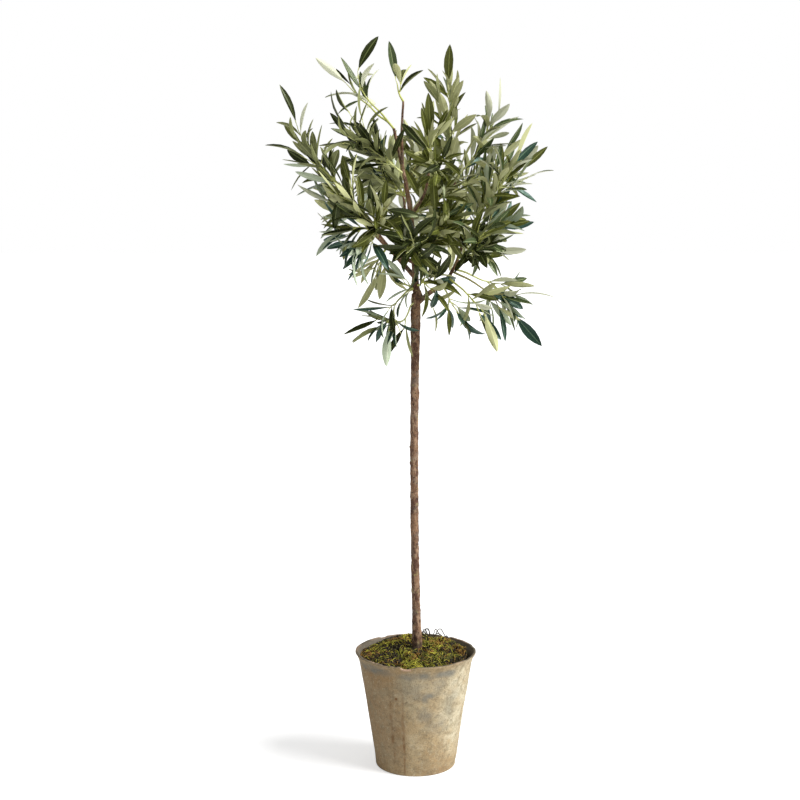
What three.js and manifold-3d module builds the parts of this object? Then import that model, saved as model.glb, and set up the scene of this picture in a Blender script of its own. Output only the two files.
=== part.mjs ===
// Artificial olive tree grown as a standard: a bare stem under an open, airy crown, set in a
// tapered clay pot with a dressing of moss. All sizes are in millimetres. The origin is the
// centre of the pot's flat underside, +Z points up, +X to the right and -Y to the front.

import * as THREE from "three";
import { mergeVertices } from "three/addons/utils/BufferGeometryUtils.js";
import Module from "manifold-3d";

const wasm = await Module();
wasm.setup();

// ---------------------------------------------------------------- driving dimensions

const GAP = 0.3; // clearance left between pieces that touch

const POT_HEIGHT = 198;
const POT_RIM_RADIUS = 101.6; // an eight inch pot
const POT_NECK_RADIUS = 94.6; // just under the flared lip
const POT_FOOT_RADIUS = 67;
const POT_BELLY_SAG = 1.2; // how far the side bows in between foot and neck
const POT_LIP_HEIGHT = 17;
const POT_LIP_CURVE = 1.4; // over 1, the lip turns out more towards its top
const POT_WALL = 6.5;
const POT_FLOOR = 9;
const POT_EDGE = 2.4; // bevel of the foot and the rim
const POT_INNER_EDGE = 1; // bevel of the rim's inner edge
const POT_LEVELS = [0.25, 0.5, 0.75, 0.92, 0.97]; // where the pot's side is shaped
const ROUND_SIDES = 28;

const PLUG_TOP = 170; // level of the potting plug
const PLUG_SIDE_GAP = 1.2; // between the faceted plug and the faceted wall round it
const PLUG_LEVELS = 4;
const MOSS_SIDE_GAP = 1;
const MOSS_RISE = 34; // moss above the plug at its highest
const MOSS_EDGE_RISE = 20; // moss above the plug at the pot's wall
const MOSS_RINGS = 5;
const MOSS_LUMPS = [
  { height: 2.6, length: 52, heading: 0.6 },
  { height: 1.7, length: 34, heading: 2 },
];

const STEM_FOOT = 112; // flat-cut foot of the stem, set in the plug
const STEM_FORK = 800; // where the stem divides
const STEM_FOOT_RADIUS = 8.4;
const STEM_RADIUS = 6.9;
const STEM_FORK_RADIUS = 8.6;
const STEM_FLARE_HEIGHT = 26;
const STEM_FORK_SWELL = 40;
const STEM_LEAN = [5.4, 0]; // where the stem's foot stands, from the pot's axis
const STEM_SWAY = [-5.2, 1.8]; // how far the stem wanders, sideways and front to back
const STEM_BUMPS = [
  { height: 0.22, length: 57 },
  { height: 0.15, length: 134 },
];
const STEM_POINTS = 8;
const STEM_SIDES = 10;
const STEM_RINGS = 18;

const LIMB_SIDES = 7;
const LIMB_RINGS = 6;
const LIMB_TAPER = 0.8; // under 1, a bough thins faster near its foot

// Each bough leaves its parent a fraction `at` of the way up it and ends at `tip`. `bow`
// is how far its middle stands off the straight line, and `radii` are its foot and tip.
const bough = (name, parent, at, tip, bow, radii) => ({ name, parent, at, tip, bow, radii });
const BOUGHS = [
  bough("leader", "stem", 1, [-38, 12, 1070], [9, -12, 0], [6.2, 2.2]),
  bough("bough_top", "leader", 0.74, [-21, -14, 1108], [-2, -3, 0], [2.9, 1.7]),
  bough("bough_left", "leader", 0.09, [-111, 84, 956], [6, 0, -14], [4.4, 2.0]),
  bough("bough_left_front", "leader", 0.18, [-74, -84, 905], [4, -6, -12], [3.8, 1.9]),
  bough("bough_right", "stem", 0.975, [80, -20, 896], [14, -2, -12], [4.6, 2.0]),
  bough("bough_right_rear", "leader", 0.12, [66, 78, 980], [8, 8, -14], [4.2, 2.0]),
  bough("bough_centre_front", "leader", 0.46, [22, -62, 1012], [6, -8, -8], [3.2, 1.8]),
  bough("bough_rear", "leader", 0.26, [-22, 112, 960], [0, 12, -14], [3.6, 1.8]),
];

// Each mass of foliage springs from a limb, `at` a fraction of the way along it, and its
// furthest leaves reach `tip`. `half` is its largest half widths, across and through the
// spray, and `bow` is how far its middle stands off the straight line, to the right and up.
const mass = (name, limb, at, tip, half, bow) => ({ name, limb, at, tip, half, bow });
const MASSES = [
  mass("foliage_crest_left", "leader", 1, [-160, 18, 1182], [34, 22], [-8, -2]),
  mass("foliage_crest", "leader", 1, [-72, -10, 1214], [13, 11], [-40, 0]),
  mass("foliage_crown_left", "leader", 0.7, [-158, -46, 1100], [48, 26], [-4, 5]),
  mass("foliage_upper_left", "bough_left", 1, [-213, 40, 1136], [28, 20], [-17, -10]),
  mass("foliage_far_left", "bough_left", 1, [-233, 14, 1053], [25, 17], [0, 5]),
  mass("foliage_left", "bough_left", 0.8, [-196, 78, 972], [36, 24], [0, -3]),
  mass("foliage_left_front", "bough_left_front", 1, [-140, -118, 1030], [42, 24], [0, -6]),
  mass("foliage_low_left", "bough_left_front", 1, [-168, -70, 874], [38, 22], [0, 8]),
  mass("foliage_left_fan", "bough_left_front", 0.9, [-115, -140, 825], [30, 20], [-4, 2]),
  mass("foliage_hanging_left", "leader", 0.02, [-49, -46, 682], [34, 20], [-14, 16]),
  mass("foliage_hanging_far_left", "leader", 0.04, [-110, -40, 723], [26, 16], [13, -9]),
  mass("foliage_small_left", "bough_left", 0.45, [-92, 20, 766], [20, 15], [0, 5]),
  mass("foliage_crook", "leader", 0, [-56, -24, 848], [14, 12], [0, 0]),
  mass("foliage_top", "bough_top", 1, [-43, -14, 1199], [22, 18], [-8, 0]),
  mass("foliage_top_right", "bough_right_rear", 1, [54, 34, 1199], [31, 24], [-7, 0]),
  mass("foliage_top_far_right", "bough_right_rear", 1, [153, 40, 1142], [24, 19], [9, -6]),
  mass("foliage_centre_top", "bough_centre_front", 1, [18, -70, 1117], [22, 18], [0, 0]),
  mass("foliage_upper_right", "bough_right", 1, [182, -66, 1070], [44, 26], [0, -6]),
  mass("foliage_far_right", "bough_right_rear", 0.95, [211, 30, 1020], [40, 22], [0, -2]),
  mass("foliage_right", "bough_right", 0.95, [190, -54, 946], [42, 24], [0, -3]),
  mass("foliage_low_right", "bough_right", 0.9, [175, -84, 857], [30, 20], [0, 5]),
  mass("foliage_hanging_right", "bough_right", 0.55, [203, -50, 713], [30, 18], [0, 14]),
  mass("foliage_hanging_right_inner", "bough_right", 0.45, [138, -70, 714], [23, 15], [0, 20]),
  mass("foliage_right_tip", "bough_right", 0.6, [222, -40, 814], [17, 13], [0, -28]),
  mass("foliage_hanging_centre", "bough_right", 0.35, [89, -54, 711], [28, 16], [0, 14]),
  mass("foliage_hanging_inner", "bough_right", 0.15, [40, -30, 739], [17, 13], [0, 4]),
  mass("foliage_core_left", "leader", 0.55, [-104, 92, 1050], [48, 26], [0, 0]),
  mass("foliage_core_right", "leader", 0.45, [92, -34, 1010], [46, 26], [0, 0]),
  mass("foliage_core_low", "leader", 0.26, [96, -96, 946], [40, 24], [0, 0]),
  mass("foliage_fork", "leader", 0.04, [65, -86, 826], [30, 20], [0, 3]),
  mass("foliage_rear_left", "bough_rear", 0.95, [-128, 188, 1010], [50, 28], [0, -4]),
  mass("foliage_rear", "bough_rear", 1, [30, 222, 1012], [50, 28], [0, -4]),
  mass("foliage_rear_top", "bough_rear", 1, [30, 130, 1110], [36, 26], [6, 0]),
  mass("foliage_rear_right", "bough_right_rear", 0.9, [136, 184, 1000], [48, 28], [0, -4]),
  mass("foliage_rear_low", "bough_rear", 0.7, [-16, 204, 868], [42, 22], [0, 7]),
  mass("foliage_rear_low_right", "bough_right_rear", 0.6, [104, 156, 858], [40, 22], [0, 6]),
  mass("foliage_front_left", "bough_left_front", 0.85, [-62, -196, 980], [44, 26], [0, -5]),
  mass("foliage_front", "bough_centre_front", 0.9, [36, -212, 1010], [46, 26], [0, -5]),
  mass("foliage_front_low", "leader", 0.3, [-8, -180, 876], [46, 26], [0, 0]),
  mass("foliage_front_right", "bough_right", 0.7, [122, -176, 924], [42, 24], [0, 0]),
];

const MASS_SIDES = 8;
const MASS_RINGS = 7;
const MASS_FULLEST = 0.52; // where along a mass it is widest, as a fraction of its length
const MASS_FULLNESS = 0.75; // under 1, a mass is blunter than a plain swelling
const MASS_WAVES = [
  { height: 0.2, around: 2, along: 9, shift: 1 },
  { height: 0.12, around: 3, along: -7, shift: 2 },
];

const COLOURS = {
  clay: { color: 0xb19c7b, roughness: 0.9, metalness: 0 },
  plug: { color: 0x4a3d30, roughness: 1, metalness: 0 },
  moss: { color: 0x6f7a2c, roughness: 1, metalness: 0 },
  bark: { color: 0x7d6a58, roughness: 0.9, metalness: 0 },
  leaf: { color: 0x4b5a3a, roughness: 0.6, metalness: 0 },
};

// ---------------------------------------------------------------- solids and meshes

// A three.js geometry as a closed solid, with its shared corners merged.
function solidOf(geometry) {
  geometry.deleteAttribute("normal");
  geometry.deleteAttribute("uv");
  const merged = mergeVertices(geometry, 1e-4);
  return new wasm.Manifold(
    new wasm.Mesh({
      numProp: 3,
      vertProperties: new Float32Array(merged.attributes.position.array),
      triVerts: new Uint32Array(merged.index.array),
    }),
  );
}

// A solid as a three.js mesh of the given name and finish.
function meshOf(solid, name, finish) {
  const { vertProperties, triVerts } = solid.getMesh();
  const geometry = new THREE.BufferGeometry();
  geometry.setAttribute("position", new THREE.BufferAttribute(new Float32Array(vertProperties), 3));
  geometry.setIndex(new THREE.BufferAttribute(new Uint32Array(triVerts), 1));
  geometry.computeVertexNormals();
  const mesh = new THREE.Mesh(geometry, new THREE.MeshStandardMaterial(finish));
  mesh.name = name;
  return mesh;
}

// The biggest single piece of a solid that a cut may have left in several.
function largestPiece(solid) {
  return solid.decompose().reduce((best, piece) => (piece.volume() > best.volume() ? piece : best));
}

// Lays a shape out along a curve: `place` gets each of its points, and says how far along
// the curve the point goes (from 0 to 1), and how far to the side of it, over it and ahead.
function bendAlong(geometry, curve, place) {
  const position = geometry.attributes.position;
  const reference = new THREE.Vector3(0, 1, 0);
  const point = new THREE.Vector3();
  for (let i = 0; i < position.count; i += 1) {
    point.fromBufferAttribute(position, i);
    const { along, side, lift, ahead = 0 } = place(point);
    const centre = curve.getPoint(along);
    const tangent = curve.getTangent(along);
    const across = new THREE.Vector3().crossVectors(tangent, reference);
    if (across.length() < 0.2) across.crossVectors(tangent, new THREE.Vector3(1, 0, 0));
    across.normalize();
    const up = new THREE.Vector3().crossVectors(across, tangent).normalize();
    centre.addScaledVector(across, side).addScaledVector(up, lift).addScaledVector(tangent, ahead);
    position.setXYZ(i, centre.x, centre.y, centre.z);
  }
  return geometry;
}

// A profile turned about the pot's axis. Points are [radius, height] pairs.
function turned(points) {
  const profile = points.map(([radius, height]) => new THREE.Vector2(radius, height));
  return new THREE.LatheGeometry(profile, ROUND_SIDES).rotateX(Math.PI / 2);
}

// A round limb: a rod bent along the curve, `radiusAt` giving its radius along it.
function limbSolid(curve, radiusAt, sides, rings, spare = 0) {
  const rod = new THREE.CylinderGeometry(1, 1, 1, sides, rings);
  bendAlong(rod, curve, ({ x, y, z }) => {
    const along = THREE.MathUtils.clamp(y + 0.5, 0, 1);
    const radius = radiusAt(along) + spare;
    return { along, side: x * radius, lift: z * radius };
  });
  return solidOf(rod);
}

// ---------------------------------------------------------------- pot and dressing

// The pot's outer radius at a height: nearly straight, bowed in a little, with a flared lip.
function potRadius(height) {
  const neck = POT_HEIGHT - POT_LIP_HEIGHT;
  const t = Math.min(height / neck, 1);
  const side = POT_FOOT_RADIUS + (POT_NECK_RADIUS - POT_FOOT_RADIUS) * t;
  const flare = Math.max(0, (height - neck) / POT_LIP_HEIGHT);
  const bowed = side - POT_BELLY_SAG * Math.sin(Math.PI * t);
  return bowed + (POT_RIM_RADIUS - POT_NECK_RADIUS) * flare ** POT_LIP_CURVE;
}

function potSolid() {
  const heights = POT_LEVELS.map((level) => level * POT_HEIGHT);
  const outside = heights.map((height) => [potRadius(height), height]);
  const inside = heights.map((height) => [potRadius(height) - POT_WALL, height]).reverse();
  const mouth = POT_RIM_RADIUS - POT_WALL;
  return solidOf(
    turned([
      [0, 0],
      [POT_FOOT_RADIUS - POT_EDGE, 0],
      [POT_FOOT_RADIUS, POT_EDGE],
      ...outside,
      [POT_RIM_RADIUS, POT_HEIGHT - POT_EDGE],
      [POT_RIM_RADIUS - POT_EDGE, POT_HEIGHT],
      [mouth + POT_INNER_EDGE, POT_HEIGHT],
      [mouth, POT_HEIGHT - POT_INNER_EDGE],
      ...inside,
      [potRadius(POT_FLOOR) - POT_WALL, POT_FLOOR],
      [0, POT_FLOOR],
    ]),
  );
}

// Radius that fits inside the pot at a height.
function innerRadius(height) {
  return potRadius(height) - POT_WALL - PLUG_SIDE_GAP;
}

function plugSolid() {
  const bottom = POT_FLOOR + GAP;
  const side = [];
  for (let level = 0; level <= PLUG_LEVELS; level += 1) {
    const height = bottom + ((PLUG_TOP - bottom) * level) / PLUG_LEVELS;
    side.push([innerRadius(height), height]);
  }
  return solidOf(turned([[0, bottom], ...side, [0, PLUG_TOP]]));
}

// How far the moss's top stands over or under its even dome at a place.
function mossLump(x, y) {
  return MOSS_LUMPS.reduce((sum, { height, length, heading }) => {
    const phase = (2 * Math.PI) / length;
    const across = x * Math.cos(heading) + y * Math.sin(heading);
    const along = y * Math.cos(heading) - x * Math.sin(heading);
    return sum + height * Math.sin(across * phase + heading) * Math.cos(along * phase);
  }, 0);
}

// Moss: an uneven low dome that thins towards the pot's wall.
function mossSolid() {
  const base = PLUG_TOP + GAP;
  const radius = innerRadius(base) - MOSS_SIDE_GAP;
  const profile = [[0, base], [radius, base]];
  for (let ring = MOSS_RINGS; ring >= 0; ring -= 1) {
    const out = ring / MOSS_RINGS;
    const dome = (MOSS_RISE - MOSS_EDGE_RISE) * (1 - out * out);
    profile.push([radius * out, base + MOSS_EDGE_RISE + dome]);
  }
  const mound = turned(profile);
  const position = mound.attributes.position;
  for (let i = 0; i < position.count; i += 1) {
    const [x, y, z] = [position.getX(i), position.getY(i), position.getZ(i)];
    const free = THREE.MathUtils.smoothstep(z, base, base + MOSS_EDGE_RISE);
    position.setZ(i, z + mossLump(x, y) * free);
  }
  return solidOf(mound);
}

// ---------------------------------------------------------------- stem and boughs

// The stem leans from its foot to the pot's axis, and sways once on the way up.
function stemCurve() {
  const points = [];
  for (let step = 0; step <= STEM_POINTS; step += 1) {
    const t = step / STEM_POINTS;
    const x = STEM_LEAN[0] * (1 - t) + STEM_SWAY[0] * Math.sin(Math.PI * t);
    const y = STEM_LEAN[1] * (1 - t) + STEM_SWAY[1] * Math.sin(2 * Math.PI * t);
    points.push(new THREE.Vector3(x, y, STEM_FOOT + (STEM_FORK - STEM_FOOT) * t));
  }
  return new THREE.CatmullRomCurve3(points);
}

// The stem's radius: even, flared where it leaves the moss and swollen under the fork.
function stemRadius(along) {
  const height = STEM_FOOT + (STEM_FORK - STEM_FOOT) * along;
  const ground = PLUG_TOP + MOSS_RISE;
  const flare = Math.exp(-Math.max(0, height - ground) / STEM_FLARE_HEIGHT);
  const swell = Math.exp(-(STEM_FORK - height) / STEM_FORK_SWELL);
  const bump = ({ height: size, length }) => size * Math.sin((2 * Math.PI * height) / length);
  const bumps = STEM_BUMPS.reduce((sum, wave) => sum + bump(wave), 0);
  const wider = (STEM_FOOT_RADIUS - STEM_RADIUS) * flare + (STEM_FORK_RADIUS - STEM_RADIUS) * swell;
  return STEM_RADIUS + wider + bumps;
}

function limbCurve(foot, tip, bow) {
  const middle = foot.clone().lerp(tip, 0.5).add(new THREE.Vector3(...bow));
  return new THREE.CatmullRomCurve3([foot, middle, tip]);
}

// Every limb's curve and radius, the stem first and each bough after its parent.
function growLimbs() {
  const limbs = new Map([["stem", { curve: stemCurve(), radiusAt: stemRadius }]]);
  BOUGHS.forEach(({ name, parent, at, tip, bow, radii }) => {
    const foot = limbs.get(parent).curve.getPoint(at);
    const curve = limbCurve(foot, new THREE.Vector3(...tip), bow);
    const radiusAt = (along) => radii[0] + (radii[1] - radii[0]) * along ** LIMB_TAPER;
    limbs.set(name, { curve, radiusAt });
  });
  return limbs;
}

// ---------------------------------------------------------------- foliage

// How wide a mass is along its length: it swells from its limb and narrows to its tip.
function swelling(along) {
  const skewed = along ** (Math.log(0.5) / Math.log(MASS_FULLEST));
  return Math.sin(Math.PI * skewed) ** MASS_FULLNESS;
}

// The unevenness of a mass's surface, different for each mass by its order.
function unevenness(around, along, order) {
  const wave = (w) => w.height * Math.sin(w.around * around + w.along * along + w.shift * order);
  return MASS_WAVES.reduce((sum, w) => sum + wave(w), 1);
}

// A mass: a ball drawn out along a bowed spine, flattened, with an uneven surface.
// `spare` is how much thicker than itself it is made, as room for its neighbours.
function massSolid({ limb, at, tip, half, bow }, limbs, order, spare = 0) {
  const root = limbs.get(limb).curve.getPoint(at);
  const end = new THREE.Vector3(...tip);
  const middle = root.clone().lerp(end, 0.5);
  middle.add(new THREE.Vector3(2 * bow[0], 0, 2 * bow[1]));
  const spine = new THREE.QuadraticBezierCurve3(root, middle, end);
  const ball = new THREE.SphereGeometry(1, MASS_SIDES, MASS_RINGS);
  bendAlong(ball, spine, ({ x, y, z }) => {
    const along = THREE.MathUtils.clamp((1 + y) / 2, 0, 1);
    const isPole = Math.hypot(x, z) < 1e-6;
    if (isPole) return { along, side: 0, lift: 0, ahead: Math.sign(y) * spare };
    const around = Math.atan2(z, x);
    const width = swelling(along) * unevenness(around, along, order);
    return {
      along,
      side: Math.cos(around) * (half[0] * width + spare),
      lift: Math.sin(around) * (half[1] * width + spare),
    };
  });
  return solidOf(ball);
}

// ---------------------------------------------------------------- assembly

function buildTree() {
  const tree = new THREE.Group();
  const limbs = growLimbs();
  const limb = (name, spare = 0) => {
    const { curve, radiusAt } = limbs.get(name);
    const [sides, rings] = name === "stem" ? [STEM_SIDES, STEM_RINGS] : [LIMB_SIDES, LIMB_RINGS];
    return limbSolid(curve, radiusAt, sides, rings, spare);
  };

  tree.add(meshOf(potSolid(), "pot", COLOURS.clay));
  const stemRoom = limb("stem", GAP);
  const socket = stemRoom.add(stemRoom.translate([0, 0, -GAP]));
  tree.add(meshOf(plugSolid().subtract(socket), "potting_plug", COLOURS.plug));
  tree.add(meshOf(largestPiece(mossSolid().subtract(stemRoom)), "moss", COLOURS.moss));
  tree.add(meshOf(limb("stem"), "trunk", COLOURS.bark));

  let taken = stemRoom;
  BOUGHS.forEach(({ name }) => {
    tree.add(meshOf(largestPiece(limb(name).subtract(taken)), name, COLOURS.bark));
    taken = taken.add(limb(name, GAP));
  });
  MASSES.forEach((spray, order) => {
    const clear = largestPiece(massSolid(spray, limbs, order).subtract(taken));
    tree.add(meshOf(clear, spray.name, COLOURS.leaf));
    taken = taken.add(massSolid(spray, limbs, order, 2 * GAP));
  });
  return tree;
}

export default buildTree();
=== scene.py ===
import math

import bpy
import numpy as np
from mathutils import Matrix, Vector


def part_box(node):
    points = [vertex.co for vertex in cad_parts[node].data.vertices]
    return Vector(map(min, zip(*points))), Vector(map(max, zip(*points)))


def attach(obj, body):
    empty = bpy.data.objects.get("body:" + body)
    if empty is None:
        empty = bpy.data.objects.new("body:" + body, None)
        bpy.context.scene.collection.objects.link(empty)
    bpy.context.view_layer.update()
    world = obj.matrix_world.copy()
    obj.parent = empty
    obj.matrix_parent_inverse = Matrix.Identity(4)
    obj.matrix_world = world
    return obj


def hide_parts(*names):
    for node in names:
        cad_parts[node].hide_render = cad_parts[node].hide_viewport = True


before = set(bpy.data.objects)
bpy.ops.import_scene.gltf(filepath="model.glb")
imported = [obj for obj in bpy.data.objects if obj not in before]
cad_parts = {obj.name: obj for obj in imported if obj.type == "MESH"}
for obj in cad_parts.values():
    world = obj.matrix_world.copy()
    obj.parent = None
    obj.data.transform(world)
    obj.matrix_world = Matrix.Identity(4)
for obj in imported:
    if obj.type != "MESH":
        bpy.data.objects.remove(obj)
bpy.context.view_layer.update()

# Artificial olive standard in a clay pot. Everything is in metres, in the frame of the packed
# model: the bark, twigs and leaves are worked out from its limbs and masses of foliage, and
# the clay and moss from its pot and mound.

MM = 0.001
SEED = 41
UP = np.array([0.0, 0.0, 1.0])
TURN = 2 * math.pi
GOLDEN_ANGLE = math.radians(137.5)

# ---------- small geometry helpers


def unit(vectors):
    """Each vector divided by its own length."""
    vectors = np.asarray(vectors, float)
    return vectors / np.maximum(np.linalg.norm(vectors, axis=-1, keepdims=True), 1e-12)


def smoothstep(low, high, x):
    """0 below low and 1 above high, with the cubic 3t^2 - 2t^3 between them."""
    t = np.clip((np.asarray(x, float) - low) / (high - low), 0, 1)
    return t * t * (3 - 2 * t)


def along_curve(points, count):
    """count points evenly spaced by length along a Catmull-Rom curve through the points."""
    points = np.asarray(points, float)
    padded = np.vstack([2 * points[0] - points[1], points, 2 * points[-1] - points[-2]])
    t = np.linspace(0, 1, 12, endpoint=False)[:, None]
    pieces = []
    for a, b, c, d in zip(padded, padded[1:], padded[2:], padded[3:]):
        cubic = (3 * (b - c) + d - a) * t**3 + (2 * a - 5 * b + 4 * c - d) * t**2
        pieces.append(0.5 * (2 * b + (c - a) * t + cubic))
    return resample(np.vstack(pieces + [points[-1:]]), count)


def read_along(wanted, places, values):
    """Values given at some places, read at the wanted ones, by straight lines between them."""
    return np.stack([np.interp(wanted, places, column) for column in np.transpose(values)], axis=-1)


def resample(points, count):
    """count points evenly spaced by length along straight steps between the points."""
    steps = np.linalg.norm(np.diff(points, axis=0), axis=1)
    reach = np.concatenate([[0], np.cumsum(steps)])
    return read_along(np.linspace(0, reach[-1], count), reach, points)


def path_length(points):
    """The sum of the steps along a path."""
    return float(np.linalg.norm(np.diff(points, axis=0), axis=1).sum())


def tangents(points):
    """Unit directions along paths, from the differences of neighbouring points."""
    return unit(np.gradient(points, axis=-2))


def side_vectors(directions, reference=(0.31, 0.87, 0.12)):
    """Two unit vectors square to each direction and to each other."""
    across = unit(np.cross(directions, np.asarray(reference)))
    return across, np.cross(directions, across)


def swung(a, b, angle):
    """The direction at an angle from a, towards b: a cos + b sin."""
    return a * np.cos(angle) + b * np.sin(angle)


def value_noise(x, y, cells, seed, wrap_x=True):
    """Smooth noise from -1 to 1: random values on a grid of cells, blended by smoothstep.
    x and y run from 0 to 1, and x can wrap round."""
    across, up = cells
    grid = np.random.default_rng(SEED + seed).uniform(-1, 1, (up + 2, across + 1))
    if wrap_x:
        grid[:, across] = grid[:, 0]
    gx = np.clip(np.asarray(x) * across, 0, across - 1e-9)
    gy = np.clip(np.asarray(y) * up, 0, up - 1e-9)
    ix, iy = gx.astype(int), gy.astype(int)
    fx, fy = smoothstep(0, 1, gx - ix), smoothstep(0, 1, gy - iy)
    low = grid[iy, ix] * (1 - fx) + grid[iy, ix + 1] * fx
    high = grid[iy + 1, ix] * (1 - fx) + grid[iy + 1, ix + 1] * fx
    return low * (1 - fy) + high * fy


# ---------- making pieces


def closed_tube(rows, columns):
    """The faces of a tube of points, row by row: quads that wrap round, and triangles that
    close its first and last rows on the two poles that come after its points."""
    r, c = np.meshgrid(np.arange(rows - 1), np.arange(columns), indexing="ij")
    right = (c + 1) % columns
    quads = [r * columns + c, r * columns + right, (r + 1) * columns + right, (r + 1) * columns + c]
    ring = np.arange(columns)
    after = (ring + 1) % columns
    end, pole = (rows - 1) * columns, np.full(columns, rows * columns)
    foot = np.stack([after, ring, pole], axis=-1)
    tip = np.stack([ring + end, after + end, pole + 1], axis=-1)
    return np.stack(quads, axis=-1).reshape(-1, 4), np.vstack([foot, tip])


def repeated(faces, count, each):
    """One shape's faces for many shapes in a row, of `each` points apiece."""
    return (faces + (np.arange(count) * each)[:, None, None]).reshape(-1, faces.shape[1])


def new_object(name, data):
    """An object round its data, linked into the scene."""
    thing = bpy.data.objects.new(name, data)
    bpy.context.scene.collection.objects.link(thing)
    return thing


def new_piece(name, points, faces, materials, face_material=None, sharp=None):
    """A mesh object from arrays: points, and faces as arrays of quads and triangles. Edges
    that turn by more than `sharp` degrees are left sharp."""
    mesh = bpy.data.meshes.new(name)
    loops = np.concatenate([f.ravel() for f in faces]).astype(np.int32)
    sizes = np.concatenate([np.full(len(f), f.shape[1]) for f in faces])
    points = np.asarray(points, np.float32).reshape(-1, 3)
    mesh.vertices.add(len(points))
    mesh.vertices.foreach_set("co", points.ravel())
    mesh.loops.add(len(loops))
    mesh.loops.foreach_set("vertex_index", loops)
    mesh.polygons.add(len(sizes))
    mesh.polygons.foreach_set("loop_start", (np.cumsum(sizes) - sizes).astype(np.int32))
    mesh.polygons.foreach_set("use_smooth", np.ones(len(sizes), bool))
    for material in materials:
        mesh.materials.append(material)
    if face_material is not None:
        mesh.polygons.foreach_set("material_index", np.asarray(face_material, np.int32))
    mesh.update(calc_edges=True)
    mesh.validate()
    if sharp is not None:
        mesh.set_sharp_from_angle(angle=math.radians(sharp))
    piece = new_object(name, mesh)
    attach(piece, "root")
    return piece


def tube_piece(name, paths, thick, sides, finishes, chosen):
    """A piece of many thin tubes, each with its chosen finish: a ring of points carried
    along each path, with the path's radii, and closed half a radius before its start and one
    radius past its end."""
    count, rows = thick.shape
    ways = tangents(paths)
    across, over = side_vectors(ways, (0.37, 0.21, 0.9))
    angle = TURN * np.arange(sides)[:, None] / sides
    ring = swung(across[:, :, None], over[:, :, None], angle)
    grid = paths[:, :, None] + ring * thick[:, :, None, None]
    start = paths[:, :1] - ways[:, :1] * thick[:, :1, None] * 0.5
    end = paths[:, -1:] + ways[:, -1:] * thick[:, -1:, None]
    points = np.concatenate([grid.reshape(count, -1, 3), start, end], axis=1)
    one = closed_tube(rows, sides)
    faces = [repeated(f, count, points.shape[1]) for f in one]
    slots = np.concatenate([np.repeat(chosen, len(f)) for f in one])
    return new_piece(name, points, faces, finishes, slots)


# ---------- reading the frame


def node_mesh(node):
    """A CAD node's points and edges as arrays."""
    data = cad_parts[node].data
    points, edges = np.empty((len(data.vertices), 3)), np.empty((len(data.edges), 2), int)
    data.vertices.foreach_get("co", points.ravel())
    data.edges.foreach_get("vertices", edges.ravel())
    return points, edges


def sliced(node, start, end, fractions):
    """Cuts a node square to the line from start to end. Gives each cut's middle, its half
    widths across and over the line, and those two directions."""
    points, edges = node_mesh(node)
    line = unit(end - start)
    across, over = side_vectors(line, UP if abs(line[2]) < 0.95 else (0.0, 1.0, 0.0))
    length = float(np.dot(end - start, line))
    height = (points - start) @ line
    middles, halves = [], []
    for fraction in fractions:
        level = fraction * length
        a, b = edges[:, 0], edges[:, 1]
        cut = (height[a] - level) * (height[b] - level) < 0
        a, b = a[cut], b[cut]
        t = ((level - height[a]) / (height[b] - height[a]))[:, None]
        ring = points[a] * (1 - t) + points[b] * t - start
        flat = np.stack([ring @ across, ring @ over], axis=1)
        low, high = flat.min(axis=0), flat.max(axis=0)
        centre = (low + high) / 2
        middles.append(start + line * level + across * centre[0] + over * centre[1])
        halves.append((high - low) / 2)
    return np.array(middles), np.array(halves), across, over


def ends_of(node, near):
    """A node's two far ends along its longest direction, the one nearest to `near` first."""
    points, _ = node_mesh(node)
    centre = points.mean(axis=0)
    _, _, axes = np.linalg.svd(points - centre, full_matrices=False)
    reach = (points - centre) @ axes[0]
    ends = [points[reach.argmin()], points[reach.argmax()]]
    return sorted(ends, key=lambda end: min(np.linalg.norm(np.atleast_2d(near) - end, axis=1)))


NODES = sorted(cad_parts)
MASSES = [n for n in NODES if n.startswith("foliage")]
BOUGHS = ["leader"] + [n for n in NODES if n.startswith("bough")]
TRUNK_TOP = np.array(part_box("trunk")[1])[2]
FORK = np.array([0.0, 0.0, TRUNK_TOP])


def read_limb(node):
    """A limb's middle line and radius, foot first, from cuts along it."""
    foot, tip = ends_of(node, FORK)
    if node == "trunk":
        foot, tip = tip, foot
    middles, halves, _, _ = sliced(node, foot, tip, np.linspace(0.03, 0.97, 12))
    return middles, halves.mean(axis=1)


class Mass:
    """A mass of foliage as its root, tip and nine cuts square to the line between them."""

    places = np.linspace(0.06, 0.94, 9)

    def __init__(self, node, spray):
        self.node, self.spray = node, spray
        self.root, self.tip = ends_of(node, LIMB_POINTS)
        self.line = unit(self.tip - self.root)
        self.length = float(np.linalg.norm(self.tip - self.root))
        self.middles, self.halves, *self.sides = sliced(node, self.root, self.tip, Mass.places)

    def distance(self, points):
        """How far points are outside the mass: the larger of how far they are beyond its ends
        and beyond the oval of the cut that each is level with."""
        along = (points - self.root) @ self.line
        off = points - read_along(along / self.length, Mass.places, self.middles)
        room = read_along(along / self.length, Mass.places, self.halves).T
        out = np.hypot(*[off @ side / half for side, half in zip(self.sides, room)])
        beyond = np.maximum(-along, along - self.length)
        return np.maximum((out - 1) * self.halves.min(), beyond)


LIMBS = {node: read_limb(node) for node in ["trunk", *BOUGHS]}
LIMB_POINTS = np.vstack([along_curve(line, 60) for line, _ in LIMBS.values()])
SHAPES = [Mass(node, spray) for spray, node in enumerate(MASSES)]

# ---------- finishes


def feed(tree, socket, value):
    """Links another node's output to a socket, or fills it in with a number or a colour."""
    if isinstance(value, bpy.types.NodeSocket):
        tree.links.new(value, socket)
    else:
        socket.default_value = (*value, 1) if socket.type == "RGBA" else value


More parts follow.
